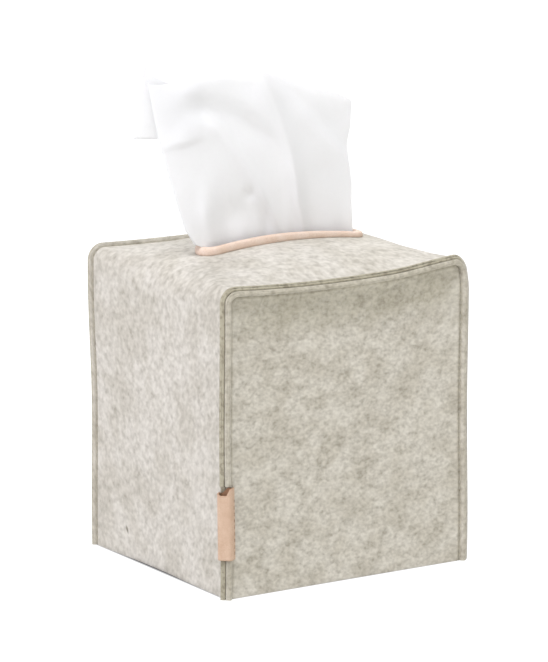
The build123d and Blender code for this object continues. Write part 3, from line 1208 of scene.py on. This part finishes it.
@dataclass
class Sewing:
    """Thread of the seams and of the tag, as separate stitches that dip at both ends."""

    form: CoverForm
    tag: LeatherTag
    seam_finish: bpy.types.Material
    tag_finish: bpy.types.Material
    pitch: float = 3.0
    stitch: float = 2.2
    thread: float = 0.24
    arch_steps: tuple[int, int] = (50, 16)
    top_steps: int = 60
    dome_rise: float = 1.15
    dome_sink: float = 0.95
    tip_share: float = 0.55
    row_inset: float = 0.9
    row_ends: float = 1.5

    def stitches(self, places: np.ndarray, along: np.ndarray, out: np.ndarray,
                 parts: MeshParts) -> None:
        """Adds one stitch at each place.

        A stitch is a tube whose radius and height over the felt both follow the square root of
        1 - s^2 along its length, so that it arches and goes in at both ends.

        Args:
            places: Middles of the stitches on the surface.
            along: Unit directions of sewing.
            out: Unit normals of the surface.
            parts: Mesh under way.
        """
        s = np.linspace(-0.999, 0.999, 7)
        swing = np.linspace(0.0, 2 * np.pi, 7)
        dome = np.sqrt(1.0 - s ** 2)
        lift = self.thread * (self.dome_rise * dome - self.dome_sink)
        radius = self.thread * (self.tip_share + (1.0 - self.tip_share) * dome)
        side = np.cross(along, out)
        tube = (
            places[:, None, None]
            + (s * self.stitch / 2)[None, :, None, None] * along[:, None, None]
            + (lift[:, None] + radius[:, None] * np.sin(swing))[None, :, :, None] * out[:, None, None]
            + (radius[:, None] * np.cos(swing))[None, :, :, None] * side[:, None, None]
        )
        tube = self.form.settle(tube)
        index = parts.grid(tube.reshape(-1, len(swing), 3)).reshape(tube.shape[:3])
        index[..., -1] = index[..., 0]
        first, second = index[:, :-1], index[:, 1:]
        quads = np.stack([first[..., :-1], second[..., :-1], second[..., 1:], first[..., 1:]], axis=-1)
        parts.quads.append(quads.reshape(-1, 4))

    def seams(self) -> bpy.types.Object:
        """Sews both seams from both sides, in the valley beside the turned edges."""
        outer, _, _ = self.form.turned_edge()
        step = int(self.form.sewn_step)
        deep = outer[step] + (self.form.sewn_step - step) * (outer[step + 1] - outer[step])
        face = np.array([DIAGONAL, -DIAGONAL])
        across = np.linspace(-self.form.top_half, self.form.top_half, self.top_steps)
        path, normal = self.form.arch(*self.arch_steps, across, self.form.bend_radius)
        parts = MeshParts()
        for side in Side:
            for spot, lean in ((deep, face), (deep[::-1], face[::-1])):
                line = path + spot[0] * normal
                level = np.full(len(line), side.value * (self.form.half_depth + spot[1]))
                seam = np.stack([line[:, 0], level, line[:, 1]], axis=1)
                places, along = resample(seam, self.pitch)
                outward = np.stack([-along[:, 2], np.zeros(len(along)), along[:, 0]], axis=1)
                out = lean[0] * outward + lean[1] * np.array([0.0, side.value, 0.0])
                self.stitches(places, along, out, parts)
        return mount(make_object("seam_thread", parts.arrays(), self.seam_finish))

    def tag_rows(self) -> bpy.types.Object:
        """Sews both legs of the tag with one upright row each, close to their ends."""
        parts = MeshParts()
        start = self.form.turn_run + self.tag.thickness / 2 + self.row_inset
        face = self.form.felt - self.form.squeeze + self.tag.thickness
        level = self.tag.bottom + np.array([self.row_ends, self.tag.tall - self.row_ends])
        for sign in (1.0, -1.0):
            line = self.tag.world(np.full(2, start), np.full(2, sign * face), level)
            places, along = resample(line, self.pitch)
            out = np.tile(sign * np.array([DIAGONAL, -DIAGONAL, 0.0]), (len(places), 1))
            self.stitches(places, along, out, parts)
        return mount(make_object("tag_thread", parts.arrays(), self.tag_finish))


@dataclass
class DrawnTissue:
    """Sheet drawn up through the slot, folded once down its right edge into two layers.

    Heights are over the seams' top plane. A fold is a ridge or a step along a curved line across
    the sheet, and moves it forwards or back along a slant, which keeps its outline.
    """

    form: CoverForm
    finish: bpy.types.Material
    foot: float = -49.3
    lip: float = 9.0
    flat: tuple[float, float] = (0.214, 0.150)
    thickness: float = 0.16
    slant: tuple[float, float] = (0.63, -0.26)
    columns: int = 116
    rows: int = 120
    low_share: float = 0.25
    crowding: float = 1.25
    fold_bow: float = 0.012
    fold_width: float = 0.03
    corner_height: float = 75.0
    corner_step: float = 19.3
    right_height: float = 68.0
    flap_columns: int = 26
    flap_foot: float = 58.7
    flap_slope: float = 2.5
    flap_swing: float = 5.6
    sharp: float = 80.0
    left_edge: tuple = ((-60.0, 6.8, 8.8, 16.5, 38.0, 61.0, 94.3),
                        (-38.4, -38.7, -44.6, -49.6, -56.9, -63.8, -70.9))
    right_edge: tuple = ((-60.0, 7.5, 28.9, 47.4, 55.6, 67.9),
                         (40.8, 41.0, 41.1, 38.4, 40.3, 41.1))
    front_top: tuple = ((-71.0, -60.0, -38.0, -19.0, -14.0, -10.3, -5.0, 7.2, 20.3, 33.4, 41.1),
                        (86.0, 84.6, 85.2, 85.3, 86.5, 87.7, 84.8, 80.9, 76.0, 71.7, 67.9))
    back_top: tuple = ((-71.0, -67.1, -60.0, -38.0, -10.0, 7.2, 20.3, 33.4, 41.1),
                       (94.3, 89.0, 85.3, 85.6, 83.0, 80.0, 75.0, 70.9, 67.0))

    def folds(self, x: np.ndarray, h: np.ndarray) -> np.ndarray:
        """How far the front layer stands back at a place, from the folds that cross it.

        Args:
            x: Places along the slot.
            h: Heights over the seams' top plane.

        Returns:
            Offsets in y, smaller towards the front.
        """
        spread = 0.35 + 0.65 * smooth(h, 5.0, 70.0)
        across = (x - (12.7 + 0.0444 * h - 0.00346 * h ** 2)) / spread
        ridge = -4.0 * np.where(across < 0, hump(across, 9.0, 1.5), hump(across, 6.0, 1.4))
        across = (x - (5.0 - 0.30 * h - 0.0048 * h ** 2)) / spread
        second = np.where(across < 0, hump(across, 9.0, 1.5), hump(across, 5.0, 1.4))
        second = -2.8 * second * fade(h, 62.0, 78.0)
        above = h - (54.07 - 0.977 * x - 0.01088 * x ** 2)
        arc = 1.2 * hump(above + 5.0, 6.0) - 1.9 * smooth(above, -4.0, 5.0)
        arc = smooth(x, -56.0, -40.0) * fade(x, -9.0, 6.0) * arc
        beyond = (x + 10.0) * 0.69 + (h - 87.7) * 0.72
        crest = 2.8 * smooth(beyond, -2.5, 4.5) * smooth(x, -12.0, 2.0)
        hollow = 2.4 * hump(x + 21.0, 11.0) * hump(h - 20.0, 9.0)
        dimple = 1.2 * hump(np.hypot(x + 14.6, h - 29.6), 3.0)
        left_rib = -2.0 * hump(x + 38.0, 4.5) * fade(h, 20.0, 44.0)
        gather = 3.2 * hump(x + 7.0, 4.0) * fade(h, 10.0, 27.0)
        right_turn = 3.0 * smooth(x, 12.0, 46.0) * smooth(h, 0.0, 40.0)
        left_turn = 2.2 * smooth(-x, 42.0, 70.0)
        crease = smooth(h - (62.2 + 0.13 * x), -1.5, 1.5) * hump(x + 50.0, 9.0)
        crease = -1.4 * crease * fade(h, 57.0, 72.0)
        return (ridge + second + arc + crest + hollow + dimple + left_rib + gather + right_turn
                + left_turn + crease)

    def layers(self, x: np.ndarray, h: np.ndarray) -> tuple[np.ndarray, np.ndarray]:
        """Offsets in y of the front layer, and of the back layer behind it.

        Args:
            x: Places along the slot.
            h: Heights over the seams' top plane.

        Returns:
            y of the front layer and y of the back layer.
        """
        grip = 0.26 + 0.74 * smooth(h, 6.0, 30.0)
        pleats = 0.32 * np.sin(x * 0.62 + 2.3 * np.sin(x / 9.0)) * fade(h, 4.0, 34.0)
        crumple = (np.sin(x * 0.31 + h * 0.17 + 0.6) + np.sin(x * 0.13 - h * 0.29 + 2.0)
                   + 0.6 * np.sin(x * 0.57 + h * 0.41 + 4.0)) * 0.10 * smooth(h, 10.0, 40.0)
        front = -1.2 + grip * self.folds(x, h) + pleats + crumple
        apart = 0.6 + smooth(h, 30.0, 88.0) * (1.0 + 0.7 * np.sin(x / 13.0 + 0.8))
        apart = apart + 0.3 * (1.0 + np.sin(x * 0.7 + 2.0)) * fade(h, 6.0, 40.0)
        return front, front + apart

    def body(self, parts: MeshParts) -> np.ndarray:
        """Adds both layers as one grid that turns round the right edge.

        The column number runs from the front layer's left edge, at -1, round the fold at 0 to
        the back layer's left edge, at 1.

        Args:
            parts: Mesh under way.

        Returns:
            Index grid, rows from the foot up.
        """
        turn = np.linspace(-1.0, 1.0, 2 * self.columns + 1)
        turn = np.sign(turn) * np.abs(turn) ** self.crowding
        bow = self.fold_bow
        inset = (np.hypot(turn, bow) - bow) / (math.hypot(1.0, bow) - bow)
        behind = 0.5 + 0.5 * np.tanh(turn / self.fold_width)
        climb = np.linspace(0.0, 1.0, self.rows)
        low = np.clip(climb / self.low_share, 0.0, 1.0)
        height = self.foot + (self.lip - self.foot) * low
        share = np.clip((climb - self.low_share) / (1.0 - self.low_share), 0.0, 1.0)[:, None]
        corner = np.interp(self.corner_height + self.corner_step * behind, *self.left_edge)
        x_top = np.interp(self.right_height, *self.right_edge) * (1 - inset) + corner * inset
        top = (1 - behind) * np.interp(x_top, *self.front_top)
        top = top + behind * np.interp(x_top, *self.back_top)
        h = height[:, None] + (top[None, :] - self.lip) * share
        left = np.interp(h, *self.left_edge)
        right = np.interp(h, *self.right_edge)
        x = right + (left - right) * inset[None, :]
        front, back = self.layers(x, h)
        return parts.grid(self.slanted(x, front * (1 - behind) + back * behind, h))

    def slanted(self, x: np.ndarray, y: np.ndarray, h: np.ndarray) -> np.ndarray:
        """Points whose move in y also goes sideways and down, more so above the slot."""
        free = smooth(h, 6.0, 24.0) * y
        z = h + self.form.height + self.form.felt
        return np.stack([x + self.slant[0] * free, y, z + self.slant[1] * free], axis=-1)

    def flap(self, parts: MeshParts, body: np.ndarray) -> None:
        """Adds the corner that turns over the back layer's top edge and hangs down behind it.

        Each row lies a little lower on the back layer, behind it by a gap that opens quickly at
        the turn; the left edge swings out as the rows fall.

        Args:
            parts: Mesh under way.
            body: Index grid of the two layers.
        """
        held = body[-1, -self.flap_columns:]
        start = np.concatenate(parts.points)[held]
        fall = np.concatenate([[0.0, 0.01, 0.03, 0.06], np.linspace(0.1, 1.0, 24)])[:, None]
        left = np.linspace(0.0, 1.0, len(held))[None, :] ** 1.5
        x_start, y_start, z_start = start.T[:, None]
        top = z_start - self.form.height - self.form.felt - self.slant[1] * y_start
        h = top - (top - self.flap_foot - self.flap_slope * left) * fall
        x = x_start - self.slant[0] * y_start - self.flap_swing * left * fall
        behind = 1.5 * (1.0 - np.exp(-fall / self.fold_width))
        behind = behind + 1.2 * fall * (1.0 + np.sin(left * 4.0))
        index = parts.grid(self.slanted(x, self.layers(x, h)[1] + behind, h))
        index[0] = held
        parts.skin(index)

    def build(self, rests_on: Sequence[str]) -> bpy.types.Object:
        """Args:
            rests_on: Names of the pieces that hold it up; not used.

        Returns:
            The tissue.
        """
        parts = MeshParts()
        body = self.body(parts)
        parts.skin(body)
        self.flap(parts, body)
        piece = make_object("tissue_sheet", parts.arrays(), self.finish, self.sharp)
        solid = piece.modifiers.new("thickness", "SOLIDIFY")
        solid.thickness = self.thickness * MM
        solid.offset = 0.0
        mount(piece, "drawn_tissue")
        return piece


@dataclass
class Contents:
    """Carton and pile of tissues, which keep their solids."""

    card: bpy.types.Material
    pile: bpy.types.Material

    def dress(self) -> None:
        """Gives each solid its finish."""
        for node, material in (("tissue_carton", self.card), ("tissue_stack", self.pile)):
            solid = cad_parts[node]
            if not solid.material_slots:
                solid.data.materials.append(material)
            for slot in solid.material_slots:
                slot.material = material
            LOG.info("%s: dressed", node)


@dataclass
class Studio:
    """White glowing floor, soft light and the photograph's camera."""

    azimuth: float = 32.57
    elevation: float = 12.74
    distance: float = 2461.5
    aim_height: float = 70.9
    shift_right: float = -1.28
    shift_up: float = 33.58
    focal_pixels: float = 5313.0
    long_side_pixels: float = 662.0
    sensor: float = 36.0
    world_strength: float = 0.38
    clip: tuple[float, float] = (0.05, 50.0)
    light_aim: float = 0.08
    floor_half: float = 9000.0
    floor_level: float = -0.05
    floor_glow: float = 1.0
    # The floor does not glow inside this box, a little wider than the cover and shifted left, which
    # paints a thin contact shadow along its foot.
    contact_shadow_box: tuple[float, float] = (64.3, 58.8)
    contact_shadow_shift: float = 0.3
    contact_shadow_blur: tuple[float, float] = (-0.0015, 0.001)
    soft_boxes: tuple = (
        ("soft_box_top", (-0.5, -0.38, 1.45), 0.8, 18.0, (0.99, 0.99, 1.03)),
        ("soft_box_left", (-1.5, 0.0, 0.5), 1.0, 7.4, (0.98, 0.96, 1.12)),
        ("soft_box_front", (1.1, -1.7, 0.6), 1.5, 8.5, (1.0, 1.0, 1.0)),
        ("soft_box_back", (0.9, 0.9, 1.0), 1.4, 14.5, (1.0, 1.0, 1.0)),
    )

    def camera(self) -> None:
        """Places the camera on its bearing, moved sideways and up without turning."""
        a, e = math.radians(self.azimuth), math.radians(self.elevation)
        back = Vector((-math.sin(a) * math.cos(e), -math.cos(a) * math.cos(e), math.sin(e)))
        right = Vector((math.cos(a), -math.sin(a), 0.0))
        up = back.cross(right)
        data = bpy.data.cameras.new("photo_camera")
        data.sensor_width = self.sensor
        data.lens = self.focal_pixels * self.sensor / self.long_side_pixels
        data.clip_start, data.clip_end = self.clip
        holder = bpy.data.objects.new("photo_camera", data)
        place = (back * self.distance + Vector((0.0, 0.0, self.aim_height))
                 + right * self.shift_right + up * self.shift_up) * MM
        turned = Matrix((right, up, back)).transposed().to_4x4()
        holder.matrix_world = Matrix.Translation(place) @ turned
        bpy.context.scene.collection.objects.link(holder)
        bpy.context.scene.camera = holder

    def light(self, name: str, place: tuple[float, float, float], size: float, power: float,
              tint: tuple[float, float, float]) -> None:
        """Adds a square soft box that faces the middle of the cover."""
        data = bpy.data.lights.new(name, "AREA")
        data.size = size
        data.energy = power
        data.color = tint
        lamp = bpy.data.objects.new(name, data)
        lamp.location = place
        aim = Vector((0.0, 0.0, self.light_aim)) - lamp.location
        lamp.rotation_mode = "QUATERNION"
        lamp.rotation_quaternion = aim.to_track_quat("-Z", "Y")
        bpy.context.scene.collection.objects.link(lamp)

    def floor(self) -> None:
        """Lays a wide white floor that glows, as a lit table does, but not under the cover nor a little
        past its edge, which paints a thin contact shadow.
        """
        shader = Shader("studio_floor")
        mottle = shader.noise(900.0, 1.0)
        axes = shader.node("ShaderNodeSeparateXYZ", {}, {0: shader.place})
        beside = abs(shader.out(axes, "X") + self.contact_shadow_shift * MM) - self.contact_shadow_box[0] * MM
        before = abs(shader.out(axes, "Y")) - self.contact_shadow_box[1] * MM
        # Painted contact shadow: no glow inside the box, fading in over a couple of millimetres past
        # it.
        clear = shader.math("MAXIMUM", beside, before).step(*self.contact_shadow_blur)
        material = shader.finish(shader.surface({
            "Base Color": shader.mix(mottle * 0.1, (0.12, 0.12, 0.12, 1.0), (0.10, 0.10, 0.10, 1.0)),
            "Roughness": 0.8,
            "Specular IOR Level": 0.1,
            "Emission Color": shader.mix(clear, (0.0, 0.0, 0.0, 1.0), (1.0, 1.0, 1.0, 1.0)),
            "Emission Strength": self.floor_glow,
        }))
        reach = np.linspace(-self.floor_half, self.floor_half, 13)
        x, y = np.meshgrid(reach, reach, indexing="ij")
        level = np.full_like(x, self.floor_level)
        parts = MeshParts()
        parts.skin(parts.grid(np.stack([x, y, level], axis=-1)), flip=True)
        plane = make_object("studio_floor", parts.arrays(), material)

    def build(self) -> None:
        """Sets the floor, the light and the camera."""
        scene = bpy.context.scene
        scene.view_settings.view_transform = "Standard"
        world = bpy.data.worlds.new("studio_world")
        world.use_nodes = True
        sky = world.node_tree.nodes["Background"].inputs
        sky["Color"].default_value = (1.0, 1.0, 1.0, 1.0)
        sky["Strength"].default_value = self.world_strength
        scene.world = world
        self.floor()
        for box in self.soft_boxes:
            self.light(*box)
        self.camera()


def main() -> None:
    """Builds the cover from the felt outwards, then its contents and the studio."""
    logging.basicConfig(level=logging.INFO, format="%(name)s %(message)s")
    form = CoverForm()
    felt = FeltFinish().material()
    # Painted light and shade: the strip takes a darker, lower-contrast copy of the felt, toned to how
    # the light falls on its top and sides.
    strip_felt_toned_for_light = FeltFinish("felt_strip", (0.652, 0.620, 0.555, 1.0), (0.606, 0.572, 0.500, 1.0),
                            contrast=0.90, speck=(-65.0, 29.6, 13.0)).material()
    leather = LeatherFinish().material()
    seam_thread = ThreadFinish(
        "seam_thread", (0.46, 0.43, 0.36, 1.0), (0.34, 0.32, 0.26, 1.0)).material()
    tag_thread = ThreadFinish(
        "tag_thread", (0.45, 0.30, 0.20, 1.0), (0.22, 0.13, 0.08, 1.0)).material()
    FeltWrap(form, strip_felt_toned_for_light).build()
    for side in Side:
        FeltPanel(form, felt, side).build()
    binding = SlotBinding(form, leather).build()
    strap = LeatherFinish(
        "leather_strap", (0.648, 0.472, 0.342, 1.0), (0.568, 0.392, 0.273, 1.0)).material()
    tag = LeatherTag(form, strap)
    tag.build()
    sewing = Sewing(form, tag, seam_thread, tag_thread)
    sewing.seams()
    sewing.tag_rows()
    DrawnTissue(form, TissueFinish().material()).build([binding.name, "tissue_stack"])
    Contents(CardFinish().material(), PileFinish().material()).dress()
    Studio().build()


if __name__ == "__main__":
    main()
